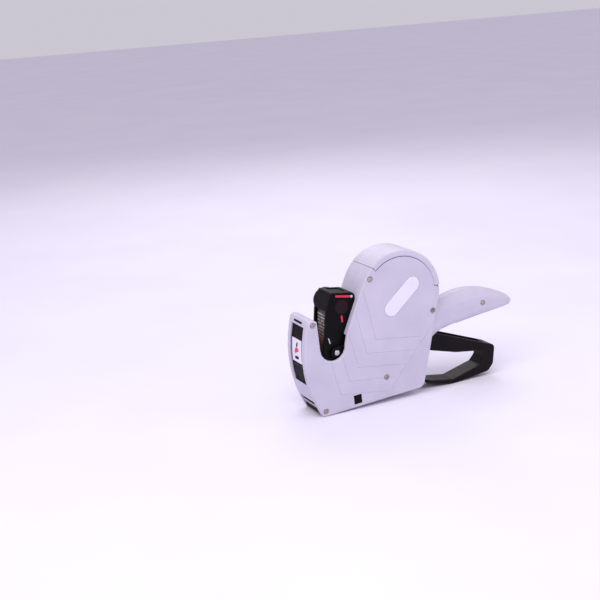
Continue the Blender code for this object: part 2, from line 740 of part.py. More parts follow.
def band_y(index):
    middle = (index - (BAND_COUNT - 1) / 2.0) * BAND_PITCH
    return (middle - BAND_W / 2.0, middle + BAND_W / 2.0)


def type_band(index):
    rollers = ((ANVIL, ANVIL_R), (GUIDE, GUIDE_R), (SELECTOR, WHEEL_R))
    outer = stretched_round([(centre, radius + 0.2 + BAND_T) for centre, radius in rollers])
    inner = stretched_round([(centre, radius + 0.2) for centre, radius in rollers])
    return make(f"type_band_{index + 1}", "band_rubber", bit_plate([outer, inner], band_y(index)),
                pivot=LEVER_AXIS)


def band_wheel(index):
    return make(f"band_wheel_{index + 1}", "wheel_plastic",
                bit_plate([circle(SELECTOR, WHEEL_R, 16), circle(SELECTOR, 2.15, 10)], band_y(index)),
                pivot=(SELECTOR[0], 0.0, SELECTOR[1]))


def type_anvil():
    return make("type_anvil", "steel", bit_plate([capsule(ANVIL, GUIDE, ANVIL_R, GUIDE_R, 9)], (-8.6, 8.6)),
                pivot=LEVER_AXIS)


def selector_collar():
    return make("selector_collar", "black_plastic", bit_turned(SELECTOR, [
        (2.15, HEAD_HALF + GAP), (4.4, HEAD_HALF + GAP), (4.4, KNOB_Y[0] - GAP), (2.15, KNOB_Y[0] - GAP)], 24),
        pivot=(SELECTOR[0], 14.0, SELECTOR[1]))


def selector_knob():
    y0, y1 = KNOB_Y
    profile = [(0.0, -8.6), (1.95, -8.6), (1.95, y0), (KNOB_R, y0), (KNOB_R, y1 - 0.8),
               (KNOB_R - 0.8, y1), (0.0, y1)]
    knob = make("selector_knob", "black_plastic", bit_turned(SELECTOR, profile, 28),
                pivot=(SELECTOR[0], (y0 + y1) / 2.0, SELECTOR[1]))
    cut(knob, bit_box((SELECTOR[0] - 5.5, SELECTOR[0] + 5.5), (y1 - 1.0, y1 + 1.0),
                      (SELECTOR[1] - 0.7, SELECTOR[1] + 0.7)))
    return knob


# ---------------------------------------------------------------- ink, dispensing and feed

def ink_door():
    hx, hz = door_hinge()
    top = DOOR_Z[1]
    front = nose_curve(hz, top, DOOR_DEPTH, 9)
    back = nose_curve(top, hz, DOOR_DEPTH + DOOR_T, 9)
    door = make("ink_door", "black_plastic", bit_plate([front + back], (-DOOR_HALF, DOOR_HALF)),
                pivot=(hx, 0.0, hz))
    add(door, bit_rod((hx, hz), 1.2, (-DOOR_HALF, DOOR_HALF), 16))
    add(door, bit_rod((hx, hz), 0.7, (-12.7, 12.7), 12))
    return door


def door_card():
    front = nose_curve(47.6, 67.4, DOOR_DEPTH - 0.4, 8)
    back = nose_curve(67.4, 47.6, DOOR_DEPTH - 0.06, 8)
    hx, hz = door_hinge()
    return make("door_card", "card_white", bit_plate([front + back], (-8.6, 8.6)), pivot=(hx, 0.0, hz))


def ink_arm():
    side_bar = capsule(INK_PIVOT, INK_ROLLER, 2.8, 2.4, 9)
    holes = [circle(INK_PIVOT, 1.2 + RUN, 20), circle(INK_ROLLER, 1.1 + RUN, 16)]
    arm = make("ink_arm", "black_plastic", bit_plate([side_bar, *holes], (-10.4, 10.4)),
               pivot=(INK_PIVOT[0], 0.0, INK_PIVOT[1]))
    cut(arm, bit_box((-14.0, 6.0), (-8.9, 8.9), (31.0, 60.0)), bit_box((-14.0, 6.0), (-8.9, 8.9), (10.0, 26.0)))
    return arm


def ink_roller():
    x, z = INK_ROLLER
    return make("ink_roller", "felt_ink", bit_turned(INK_ROLLER, [
        (0.0, -10.3), (1.1, -10.3), (1.1, -8.5), (INK_R, -8.5), (INK_R, 8.5), (1.1, 8.5), (1.1, 10.3),
        (0.0, 10.3)],
        24), pivot=(x, 0.0, z))


def nose_roller():
    x, z = NOSE_AXLE
    return make("applicator_roller", "rubber_grey", bit_turned(NOSE_AXLE, [
        (SHANK_R + 0.2, -12.8), (NOSE_ROLLER_R - 0.4, -12.8), (NOSE_ROLLER_R, -12.4), (NOSE_ROLLER_R, 12.4),
        (NOSE_ROLLER_R - 0.4, 12.8), (SHANK_R + 0.2, 12.8)], 28), pivot=(x, 0.0, z))


def peel_plate():
    outline = [(-9.0, 8.7), (-8.3, 9.3), (2.2, 12.0), (2.2, 12.8), (-8.8, 10.1), (-9.6, 9.1)]
    return make("peel_plate", "steel", bit_plate([outline], (-12.8, 12.8)))


def feed_wheel():
    """Feed drum with a ratchet of twelve teeth on its right end."""
    teeth = 12
    saw = []
    for tooth in range(teeth):
        start = 360.0 * tooth / teeth
        saw += arc(FEED, FEED_R - 1.6, start, start + 1.0, 2) + arc(FEED, FEED_R, start + 27.0, start + 29.0, 2)
    wheel = make("feed_wheel", "wheel_plastic", bit_slab(circle(FEED, FEED_R, 24), (-7.0, 7.0), 0.4),
                 pivot=(FEED[0], 0.0, FEED[1]))
    add(wheel, bit_rod(FEED, FEED_R - 2.2, (6.5, 7.6), 24))
    add(wheel, bit_plate([saw], (7.4, 9.2)))
    pins = []
    for row in (-4.0, 4.0):
        for step in range(6):
            centre = arc(FEED, FEED_R, 60.0 * step, 60.0 * step + 1.0, 2)[0]
            pins.append(bit_box((centre[0] - 0.8, centre[0] + 0.8), (row - 0.8, row + 0.8),
                                (centre[1] - 0.8, centre[1] + 0.8)))
    add(wheel, *pins)
    cut(wheel, bit_rod(FEED, 1.8 + RUN, (-12.0, 12.0), 24))
    return wheel


def feed_pawl():
    px, pz = PAWL_PIVOT
    pawl = make("feed_pawl", "steel", bit_plate([capsule(PAWL_PIVOT, (47.3, 26.4), 2.0, 0.7, 8)], (7.4, 9.2)),
                pivot=(px, 0.0, pz))
    add(pawl, bit_rod(PAWL_PIVOT, 1.0, (8.0, 15.4), 16))
    return pawl


def label_spool():
    core = make("label_core", "cardboard", bit_plate([circle(DRUM, CORE_R, 28), circle(DRUM, CORE_R - 1.0, 28)],
                                                      (-10.8, 10.8)), pivot=(DRUM[0], 0.0, DRUM[1]))
    roll = make("label_roll", "label_paper", bit_plate([circle(DRUM, ROLL_R, 40), circle(DRUM, CORE_R + 0.1, 28)],
                                                        (-10.5, 10.5)), pivot=(DRUM[0], 0.0, DRUM[1]))
    return core, roll


def lever_spring():
    """Compression coil between the shelf in the shells and the front of the lever, upright in the world."""
    curve = bpy.data.curves.new("coil", "CURVE")
    curve.dimensions = "3D"
    curve.bevel_depth = SPRING_WIRE_R
    curve.bevel_resolution = 1
    curve.use_fill_caps = True
    spline = curve.splines.new("POLY")
    per_turn = 10
    count = SPRING_TURNS * per_turn + 1
    spline.points.add(count - 1)
    low = SPRING_Z[0] + SPRING_WIRE_R
    high = SPRING_Z[1] - SPRING_WIRE_R
    for i, point in enumerate(spline.points):
        angle = math.tau * i / per_turn
        point.co = (SPRING_R * math.cos(angle), SPRING_R * math.sin(angle), (high - low) * i / (count - 1), 1.0)
    bm = mesh_of_curve(curve)
    spring = make("lever_spring", "steel", bm)
    spring.location = (SPRING_AT[0] * MM, SPRING_AT[1] * MM, low * MM)
    spring.rotation_euler = (0.0, math.radians(LEAN_DEG), 0.0)
    return spring


def name_badge():
    return make("side_badge", "card_white", bit_slab(badge_outline(), (-17.3, -16.5), 0.25))


def build():
    shell("left_shell", -1)
    shell("right_shell", 1)
    for name in SCREWS:
        shell_screw(name)
    name_badge()
    top_cover()
    bottom_cover()
    platen_block()
    platen_pad()
    latch_button("latch_button_left", -1)
    latch_button("latch_button_right", 1)
    lever()
    turned_pin("lever_pivot_pin", PIVOT, 2.5, 15.0)
    turned_pin("arm_drive_pin", DRIVE_PIN, 1.5, 13.2, LEVER_AXIS)
    lever_spring()
    for side, tag in ((-1, "left"), (1, "right")):
        head_arm(f"head_arm_{tag}", side)
        head_screw(f"head_screw_{tag}", side)
    head_housing()
    head_side_plate()
    side_cap()
    pointer_bar()
    pointer_rivet()
    type_anvil()
    for index in range(BAND_COUNT):
        type_band(index)
        band_wheel(index)
    selector_collar()
    selector_knob()
    ink_door()
    door_card()
    ink_arm()
    ink_roller()
    turned_pin("ink_arm_pin", INK_PIVOT, 1.2, 15.0)
    nose_roller()
    peel_plate()
    feed_wheel()
    turned_pin("feed_axle", FEED, 1.8, 15.0)
    feed_pawl()
    label_spool()


build()
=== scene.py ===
import math

import bmesh
import bpy
from mathutils import Matrix, Vector


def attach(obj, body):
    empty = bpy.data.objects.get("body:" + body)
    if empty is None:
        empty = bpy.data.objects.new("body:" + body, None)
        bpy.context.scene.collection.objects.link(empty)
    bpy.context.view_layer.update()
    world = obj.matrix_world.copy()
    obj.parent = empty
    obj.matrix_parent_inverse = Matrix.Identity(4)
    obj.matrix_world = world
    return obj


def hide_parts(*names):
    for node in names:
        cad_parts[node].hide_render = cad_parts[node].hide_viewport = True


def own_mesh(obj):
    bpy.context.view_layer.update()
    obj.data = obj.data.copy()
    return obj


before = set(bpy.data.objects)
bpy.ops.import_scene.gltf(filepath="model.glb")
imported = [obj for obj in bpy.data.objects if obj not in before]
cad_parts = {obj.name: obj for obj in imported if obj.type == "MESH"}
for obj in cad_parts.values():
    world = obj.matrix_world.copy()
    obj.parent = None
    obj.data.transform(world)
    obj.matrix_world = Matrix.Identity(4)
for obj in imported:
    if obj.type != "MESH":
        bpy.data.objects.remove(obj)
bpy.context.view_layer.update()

# The gun's own upright frame, in millimetres, and its place in the world
MM = 0.001
LEAN_DEG = 3.94
STANCE = (Matrix.Translation(Vector((-86.2, -2.45, 0.27)) * MM)
          @ Matrix.Rotation(math.radians(-LEAN_DEG), 4, "Y") @ Matrix.Scale(MM, 4))

SIDE = 17.0
CHEEK = 11.0
DRUM = (78.5, 86.5)
NOSE_ARC = (91.0, 46.6)
NOSE_R = 107.2
SELECTOR = (25.9, 87.8)
HEAD_SCREW = (15.3, 51.0)
CREASE = ((108.4, 56.0), (81.0, 28.2), (54.4, 1.3))

# Chevron grooves on the sides: upper end, elbow, lower end
CHEVRONS = (
    ((43.5, 100.8), (50.7, 54.4), (94.4, 46.0)),
    ((34.2, 86.4), (40.8, 44.5), (86.3, 35.7)),
    ((25.6, 70.3), (31.5, 34.5), (76.2, 25.8)),
    ((18.0, 47.6), (22.1, 24.7), (66.9, 16.4)),
    ((7.3, 45.2), (12.4, 15.2), (56.3, 6.5)),
)
GROOVE_W = 0.42
GROOVE_DEPTH = 0.42

# The lever's return spring: wire centre line and wire thickness
SPRING_X = 84.0
SPRING_Z = (16.8, 41.7)
SPRING_R = 4.0
SPRING_WIRE_R = 0.5
SPRING_TURNS = 7

# Raised type: bands side by side, rows up each band
BANDS = 8
BAND_PITCH = 2.05
TYPE_ROWS = 12

# Shell screws: place in the side view, height of the head's seat above the middle plane
SCREWS = {
    "screw_top": ((51.3, 106.9), 15.7), "screw_rear": ((108.1, 65.7), 15.7),
    "screw_lower": ((57.1, 18.8), 15.7), "screw_nose_axle": ((-2.7, 4.5), 15.7),
    "screw_nose": ((-5.0, 80.8), 15.7), "screw_handle": ((163.0, 57.4), 8.9),
}


# ---------------------------------------------------------------- mesh helpers

def linear(red, green, blue, alpha=1.0):
    def one(value):
        value /= 255.0
        return value / 12.92 if value <= 0.04045 else ((value + 0.055) / 1.055) ** 2.4
    return (one(red), one(green), one(blue), alpha)


def object_from(name, work, smooth_deg=35.0):
    """A new object at the origin whose vertices are placed in the world."""
    bmesh.ops.transform(work, matrix=STANCE, verts=work.verts)
    bmesh.ops.recalc_face_normals(work, faces=work.faces)
    mesh = bpy.data.meshes.new(name)
    work.to_mesh(mesh)
    work.free()
    for face in mesh.polygons:
        face.use_smooth = True
    mesh.set_sharp_from_angle(angle=math.radians(smooth_deg))
    item = bpy.data.objects.new(name, mesh)
    bpy.context.scene.collection.objects.link(item)
    return item


def prism(work, outline, y):
    """A closed plate with the given outline in the side view, between two heights across the gun."""
    near = [work.verts.new((x, y[0], z)) for x, z in outline]
    far = [work.verts.new((x, y[1], z)) for x, z in outline]
    work.faces.new(near)
    work.faces.new(far[::-1])
    for i in range(len(outline)):
        j = (i + 1) % len(outline)
        work.faces.new((near[j], near[i], far[i], far[j]))


def arc(centre, radius, start, end, count):
    steps = [math.radians(start + (end - start) * i / (count - 1)) for i in range(count)]
    return [(centre[0] + radius * math.cos(t), centre[1] + radius * math.sin(t)) for t in steps]


def pill(first, second, radius, count=7):
    turn = math.degrees(math.atan2(second[1] - first[1], second[0] - first[0]))
    return (arc(second, radius, turn - 90.0, turn + 90.0, count)
            + arc(first, radius, turn + 90.0, turn + 270.0, count))


def turned(work, centre, profile, count=32, flutes=0, flute_depth=0.0, fluted=()):
    """A body turned about an axis across the gun; chosen rings are fluted."""
    rings = []
    for index, (radius, y) in enumerate(profile):
        if radius == 0.0:
            rings.append([work.verts.new((centre[0], y, centre[1]))])
            continue
        ring = []
        for i in range(count):
            angle = 2.0 * math.pi * i / count
            dip = flute_depth * (0.5 - 0.5 * math.cos(flutes * angle)) if index in fluted else 0.0
            ring.append(work.verts.new((centre[0] + (radius - dip) * math.cos(angle), y,
                                        centre[1] + (radius - dip) * math.sin(angle))))
        rings.append(ring)
    for low, high in zip(rings, rings[1:]):
        for i in range(count):
            j = (i + 1) % count
            if len(low) == 1:
                work.faces.new((low[0], high[j], high[i]))
            elif len(high) == 1:
                work.faces.new((low[i], low[j], high[0]))
            else:
                work.faces.new((low[i], low[j], high[j], high[i]))


def nose_x(z, inwards=0.0):
    return NOSE_ARC[0] - math.sqrt((NOSE_R - inwards) ** 2 - (z - NOSE_ARC[1]) ** 2)


def on_nose(work, outline, inwards, thick):
    """A thin plate bent over the nose; its outline is given across the gun and upwards."""
    front = [work.verts.new((nose_x(z, inwards), y, z)) for y, z in outline]
    back = [work.verts.new((nose_x(z, inwards + thick), y, z)) for y, z in outline]
    work.faces.new(front)
    work.faces.new(back[::-1])
    for i in range(len(outline)):
        j = (i + 1) % len(outline)
        work.faces.new((front[j], front[i], back[i], back[j]))


def carved(name, body, cutter):
    """The body with the cutter taken away, as one plain mesh."""
    change = body.modifiers.new("carve", "BOOLEAN")
    change.operation = "DIFFERENCE"
    change.solver = "EXACT"
    change.object = cutter
    bpy.context.view_layer.update()
    shape = bpy.data.meshes.new_from_object(body.evaluated_get(bpy.context.evaluated_depsgraph_get()))
    bpy.data.objects.remove(body)
    bpy.data.objects.remove(cutter)
    shape.name = name
    for face in shape.polygons:
        face.use_smooth = True
    shape.set_sharp_from_angle(angle=math.radians(32.0))
    item = bpy.data.objects.new(name, shape)
    bpy.context.scene.collection.objects.link(item)
    return item


# ---------------------------------------------------------------- materials

class Nodes:
    """Short names for building one material's nodes."""

    def __init__(self, name):
        self.material = bpy.data.materials.new(name)
        self.material.use_nodes = True
        self.tree = self.material.node_tree
        self.shader = self.tree.nodes["Principled BSDF"]
        self.space = self.tree.nodes.new("ShaderNodeTexCoord").outputs["Object"]

    def link(self, start, end):
        self.tree.links.new(start, end)

    def mapped(self, scale):
        node = self.tree.nodes.new("ShaderNodeMapping")
        node.inputs["Scale"].default_value = scale
        self.link(self.space, node.inputs["Vector"])
        return node.outputs[0]

    def noise(self, scale, detail=3.0, roughness=0.5, space=None):
        node = self.tree.nodes.new("ShaderNodeTexNoise")
        node.inputs["Scale"].default_value = scale
        node.inputs["Detail"].default_value = detail
        node.inputs["Roughness"].default_value = roughness
        self.link(space or self.space, node.inputs["Vector"])
        return node.outputs["Fac"]

    def ramp(self, value, stops):
        node = self.tree.nodes.new("ShaderNodeValToRGB")
        ramp = node.color_ramp
        while len(ramp.elements) < len(stops):
            ramp.elements.new(0.5)
        for element, (place, colour) in zip(ramp.elements, stops):
            element.position = place
            element.color = colour
        self.link(value, node.inputs["Fac"])
        return node.outputs["Color"]

    def span(self, value, low, high, start=0.3, end=0.7):
        node = self.tree.nodes.new("ShaderNodeMapRange")
        node.inputs["From Min"].default_value = start
        node.inputs["From Max"].default_value = end
        node.inputs["To Min"].default_value = low
        node.inputs["To Max"].default_value = high
        self.link(value, node.inputs["Value"])
        return node.outputs[0]

    def bump(self, value, strength, distance):
        node = self.tree.nodes.new("ShaderNodeBump")
        node.inputs["Strength"].default_value = strength
        node.inputs["Distance"].default_value = distance
        self.link(value, node.inputs["Height"])
        return node.outputs[0]

    def painted_edge_highlight_mask(self, width=0.0004):
        """Mask for a painted edge highlight: where a rounded copy of the surface leaves the true one, which
        is along its edges.
        """
        bevel = self.tree.nodes.new("ShaderNodeBevel")
        bevel.samples = 4
        bevel.inputs["Radius"].default_value = width
        geometry = self.tree.nodes.new("ShaderNodeNewGeometry")
        dot = self.tree.nodes.new("ShaderNodeVectorMath")
        dot.operation = "DOT_PRODUCT"
        self.link(bevel.outputs[0], dot.inputs[0])
        self.link(geometry.outputs["Normal"], dot.inputs[1])
        return self.span(dot.outputs["Value"], 1.0, 0.0, 0.82, 0.995)

    def mix(self, factor, first, second):
        node = self.tree.nodes.new("ShaderNodeMix")
        node.data_type = "RGBA"
        self.link(factor, node.inputs["Factor"])
        for socket, value in ((node.inputs[6], first), (node.inputs[7], second)):
            if isinstance(value, tuple):
                socket.default_value = value
            else:
                self.link(value, socket)
        return node.outputs[2]


def moulded(name, dark, light, rough, grain=2600.0, strength=0.10, edge_highlight_colour=None, gloss=0.45):
    """Injection-moulded plastic: slow colour drift, spark-eroded grain, and a painted highlight that makes
    the edges paler or darker in a colour of its own.
    """
    n = Nodes(name)
    drift = n.ramp(n.noise(40.0, 2.0), [(0.3, dark), (0.7, light)])
    # Painted highlight: the edges are mixed towards the edge highlight colour.
    colour = n.mix(n.painted_edge_highlight_mask(), drift, edge_highlight_colour) if edge_highlight_colour else drift
    n.link(colour, n.shader.inputs["Base Color"])
    fine = n.noise(grain, 2.0, 0.6)
    n.link(n.span(n.noise(300.0, 3.0), rough - 0.05, rough + 0.07), n.shader.inputs["Roughness"])
    n.link(n.bump(fine, strength, 0.00006), n.shader.inputs["Normal"])
    n.shader.inputs["Specular IOR Level"].default_value = gloss
    return n.material


def metal(name, dark, light, rough, across=(40.0, 2600.0, 40.0), strength=0.12):
    """Plated or drawn metal, with fine lines one way and a few duller patches."""
    n = Nodes(name)
    n.shader.inputs["Metallic"].default_value = 1.0
    n.link(n.ramp(n.noise(160.0, 4.0), [(0.35, dark), (0.65, light)]), n.shader.inputs["Base Color"])
    lines = n.noise(1.0, 3.0, 0.6, n.mapped(across))
    n.link(n.span(lines, rough - 0.07, rough + 0.10), n.shader.inputs["Roughness"])
    n.link(n.bump(lines, strength, 0.00003), n.shader.inputs["Normal"])
    return n.material


def make_materials():
    m = {}
    # Each plastic's extra paler colour is its painted edge highlight; the lever's purple one paints the
    # highlight along its edges.
    m["shell"] = moulded("shell_satin", linear(193, 187, 206), linear(203, 196, 215), 0.46, 1900.0, 0.26,
                         edge_highlight_colour=linear(222, 217, 234))
    m["cover"] = moulded("cover_satin", linear(196, 190, 208), linear(205, 198, 217), 0.43, 1900.0, 0.22,
                         edge_highlight_colour=linear(224, 219, 236))
    m["black"] = moulded("black_satin", linear(8, 6, 7), linear(13, 10, 12), 0.45, 2200.0, 0.14,
                         linear(44, 35, 40), 0.10)
    m["lever"] = moulded("black_lever", linear(9, 6, 8), linear(16, 11, 14), 0.40, 1800.0, 0.10,
                         linear(82, 58, 76), 0.13)
    m["cap"] = moulded("brown_black_cap", linear(30, 20, 23), linear(38, 26, 29), 0.5, 2200.0, 0.12,
                       linear(52, 40, 44), 0.12)
    m["door"] = moulded("black_door", linear(9, 7, 9), linear(15, 12, 14), 0.5, 2200.0, 0.12,
                        linear(40, 32, 36), 0.08)
    m["red"] = moulded("signal_red", linear(214, 24, 62), linear(232, 38, 78), 0.34, 2600.0, 0.06)
    m["steel"] = metal("bright_steel", (0.50, 0.49, 0.51, 1.0), (0.66, 0.65, 0.67, 1.0), 0.27)
    m["screw"] = metal("nickel_screw", (0.36, 0.29, 0.22, 1.0), (0.66, 0.58, 0.48, 1.0), 0.24, strength=0.2)
    m["rubber"] = moulded("dark_rubber", linear(28, 25, 28), linear(38, 34, 37), 0.72, 1500.0, 0.25,
                          gloss=0.2)
    m["pad"] = moulded("grey_rubber", linear(92, 90, 94), linear(106, 103, 107), 0.76, 1500.0, 0.25)
    m["wheel"] = moulded("natural_nylon", linear(208, 204, 196), linear(220, 216, 208), 0.38, 1800.0, 0.08)
    m["card"] = moulded("coated_card", linear(228, 223, 238), linear(234, 230, 243), 0.36, 3200.0, 0.03)
    # Near-black used for printed marks on the card, and as painted shade in the cap's slot.
    m["slot"] = moulded("black_print_and_painted_slot_shade", linear(12, 10, 12), linear(18, 15, 17), 0.6, 2200.0, 0.1,
                        gloss=0.12)
    m["band"] = band_material()
    m["slug"] = slug_material()
    m["felt"] = felt_material()
    m["paper"] = paper_material()
    m["board"] = board_material()
    return m


def band_material():
    n = Nodes("type_band_rubber")
    grime = n.ramp(n.noise(420.0, 5.0, 0.65), [(0.35, linear(58, 47, 45)), (0.55, linear(104, 90, 84)),
                                               (0.75, linear(142, 128, 122))])
    n.link(grime, n.shader.inputs["Base Color"])
    n.link(n.span(n.noise(700.0, 3.0), 0.42, 0.66), n.shader.inputs["Roughness"])
    n.link(n.bump(n.noise(1600.0, 3.0), 0.3, 0.00008), n.shader.inputs["Normal"])
    return n.material


def slug_material():
    """Raised type: silvery white high on the band, turning through grey and orange to brown towards the
    printing end.
    """
    n = Nodes("raised_type")
    place = n.tree.nodes.new("ShaderNodeSeparateXYZ")
    n.link(n.space, place.inputs[0])
    height = n.span(place.outputs["Z"], 0.0, 1.0, 0.048, 0.092)
    tone_by_height = n.ramp(height, [(0.0, linear(96, 58, 38)), (0.30, linear(176, 112, 62)),
                            (0.55, linear(196, 182, 178)), (1.0, linear(240, 236, 242))])
    speck = n.span(n.noise(520.0, 3.0, 0.6), 0.0, 0.85, 0.5, 0.6)
    n.link(n.mix(speck, tone_by_height, linear(30, 25, 27)), n.shader.inputs["Base Color"])
    n.link(n.span(n.noise(500.0, 2.0), 0.25, 0.5), n.shader.inputs["Roughness"])
    n.link(n.bump(n.noise(1800.0, 2.0), 0.2, 0.00005), n.shader.inputs["Normal"])
    return n.material


def felt_material():
    n = Nodes("inked_felt")
    fibre = n.noise(1400.0, 6.0, 0.7)
    n.link(n.ramp(fibre, [(0.3, linear(16, 15, 24)), (0.7, linear(44, 41, 60))]),
           n.shader.inputs["Base Color"])
    n.link(n.span(n.noise(260.0, 3.0), 0.72, 0.95), n.shader.inputs["Roughness"])
    n.link(n.bump(fibre, 0.6, 0.0002), n.shader.inputs["Normal"])
    n.shader.inputs["Sheen Weight"].default_value = 0.2
    return n.material


def paper_material():
    """The edge of a wound strip: hundreds of fine rings about the spool's axis."""
    n = Nodes("wound_paper")
    axis = STANCE @ Vector((DRUM[0], 0.0, DRUM[1]))
    move = n.tree.nodes.new("ShaderNodeMapping")
    move.inputs["Location"].default_value = (-axis.x, 0.0, -axis.z)
    n.link(n.space, move.inputs["Vector"])
    flat = n.tree.nodes.new("ShaderNodeVectorMath")
    flat.operation = "MULTIPLY"
    flat.inputs[1].default_value = (1.0, 0.0, 1.0)
    n.link(move.outputs[0], flat.inputs[0])
    reach = n.tree.nodes.new("ShaderNodeVectorMath")
    reach.operation = "LENGTH"
    n.link(flat.outputs[0], reach.inputs[0])
    turns = n.tree.nodes.new("ShaderNodeMath")
    turns.operation = "MULTIPLY"
    turns.inputs[1].default_value = 2600.0
    n.link(reach.outputs["Value"], turns.inputs[0])
    wave = n.tree.nodes.new("ShaderNodeMath")
    wave.operation = "SINE"
    n.link(turns.outputs[0], wave.inputs[0])
    layers = n.span(wave.outputs[0], 0.0, 1.0, -1.0, 1.0)
    n.link(n.ramp(layers, [(0.1, linear(214, 211, 206)), (0.9, linear(240, 238, 234))]),
           n.shader.inputs["Base Color"])
    n.link(n.span(n.noise(220.0, 3.0), 0.6, 0.8), n.shader.inputs["Roughness"])
    n.link(n.bump(layers, 0.4, 0.00006), n.shader.inputs["Normal"])
    return n.material


def board_material():
    n = Nodes("core_board")
    n.link(n.ramp(n.noise(240.0, 5.0, 0.65), [(0.3, linear(139, 108, 76)), (0.7, linear(170, 138, 102))]),
           n.shader.inputs["Base Color"])
    n.link(n.span(n.noise(500.0, 3.0), 0.7, 0.9), n.shader.inputs["Roughness"])
    n.link(n.bump(n.noise(900.0, 4.0), 0.35, 0.0001), n.shader.inputs["Normal"])
    return n.material


def finish(item, material):
    item.data.materials.clear()
    item.data.materials.append(material)


def dress_frame(m):
    """Every carried-over node gets its own detailed material."""
    look = {
        "shell": ["left_shell", "right_shell", "bottom_cover", "platen_block"], "cover": ["top_cover"],
        "card": ["side_badge", "door_card"],
        "black": ["latch_button_left", "latch_button_right", "head_arm_left", "head_arm_right",
                  "head_housing", "head_side_plate", "selector_collar", "selector_knob", "ink_arm"],
        "lever": ["trigger_lever"], "door": ["ink_door"], "cap": ["head_side_cap"], "red": ["pointer_bar"],
        "steel": ["pointer_rivet", "lever_pivot_pin", "arm_drive_pin", "lever_spring", "head_screw_left",
                  "head_screw_right", "type_anvil", "ink_arm_pin", "peel_plate", "feed_axle", "feed_pawl"],
        "screw": list(SCREWS), "pad": ["platen_pad"], "rubber": ["applicator_roller"],
        "wheel": ["feed_wheel"] + [f"band_wheel_{i}" for i in range(1, BANDS + 1)],
        "band": [f"type_band_{i}" for i in range(1, BANDS + 1)],
        "felt": ["ink_roller"], "paper": ["label_roll"], "board": ["label_core"],
    }
    done = set()
    for key, names in look.items():
        for name in names:
            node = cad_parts[name]
            for slot in node.material_slots:
                slot.link = "OBJECT"
                slot.material = m[key]
            done.add(name)
    left = sorted(set(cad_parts) - done)
    if left:
        raise SystemExit(f"no finish for {left}")


# ---------------------------------------------------------------- pieces

def groove_cutter(side):
    """Vee channels for the chevrons, sunk into one side face."""
    work = bmesh.new()
    outer = side * (SIDE + 0.4)
    floor = side * (SIDE - GROOVE_DEPTH)
    for points in CHEVRONS + (CREASE,):
        runs = []
        for index, here in enumerate(points):
            here = Vector(here)
            ahead = Vector(points[min(index + 1, 2)]) - Vector(points[max(index - 1, 0)])
            if index == 1:
                first = (here - Vector(points[0])).normalized()
                second = (Vector(points[2]) - here).normalized()
                ahead = first + second
                widen = 1.0 / max(0.3, math.cos(first.angle(second) / 2.0))
            else:
                widen = 1.0
            normal = Vector((-ahead.y, ahead.x)).normalized() * GROOVE_W * widen
            runs.append((work.verts.new((here.x + normal.x, outer, here.y + normal.y)),
                         work.verts.new((here.x - normal.x, outer, here.y - normal.y)),
                         work.verts.new((here.x, floor, here.y))))
        work.faces.new(runs[0])
        work.faces.new(runs[-1][::-1])
        for low, high in zip(runs, runs[1:]):
            for i in range(3):
                j = (i + 1) % 3
                work.faces.new((low[i], low[j], high[j], high[i]))
    cutter = object_from(f"chevron_cutter_{'right' if side > 0 else 'left'}", work)
    cutter.hide_render = True
    cutter.display_type = "WIRE"
    return cutter


def chevrons():
    for side, name in ((-1.0, "left_shell"), (1.0, "right_shell")):
        cutter = groove_cutter(side)
        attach(cutter, "casing")
        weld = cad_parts[name].modifiers.new("weld", "WELD")
        weld.merge_threshold = 1e-6
        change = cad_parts[name].modifiers.new("chevrons", "BOOLEAN")
        change.operation = "DIFFERENCE"
        change.object = cutter
        change.solver = "MANIFOLD"


def crossed_screw(name, centre, faces, side, radius, tip, shank, body, node, material):
    """A pan-head screw with a cross recess; faces are the head's seat and its top."""
    seat, top = faces
    work = bmesh.new()
    rise = top - seat
    profile = [(0.0, tip), (shank, tip), (shank, seat), (radius, seat), (radius, seat + 0.25 * rise),
               (radius * 0.93, seat + 0.55 * rise), (radius * 0.76, seat + 0.82 * rise),
               (radius * 0.45, seat + 0.96 * rise), (0.0, top)]
    turned(work, centre, [(r, side * y) for r, y in profile], 28)
    head = object_from(name + "_blank", work)
    work = bmesh.new()
    wide, length = radius * 0.13, radius * 0.62
    arm = [(wide, wide), (wide, length), (-wide, length), (-wide, wide), (-length, wide), (-length, -wide),
           (-wide, -wide), (-wide, -length), (wide, -length), (wide, -wide), (length, -wide), (length, wide)]
    lean = Matrix.Rotation(math.radians(24.0), 2)
    outline = [tuple(Vector(centre) + lean @ Vector(corner)) for corner in arm]
    prism(work, outline, (side * (top - 0.6 * rise), side * (top + 1.0)))
    cross = object_from(name + "_cross", work)
    item = carved(name, head, cross)
    finish(item, material)
    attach(item, body)
    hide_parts(node)


def screws(m):
    for node, (centre, seat) in SCREWS.items():
        tip = -14.5 if seat > 12.0 else -8.2
        crossed_screw("cross_" + node, centre, (seat + 0.1, seat + 0.9), -1.0, 1.95, tip, 1.3, "casing",
                      node, m["screw"])
    for side, tag in ((-1.0, "left"), (1.0, "right")):
        crossed_screw(f"cross_head_screw_{tag}", HEAD_SCREW, (13.4, 14.5), side, 2.5, 8.75, 1.3, "lever",
                      f"head_screw_{tag}", m["steel"])


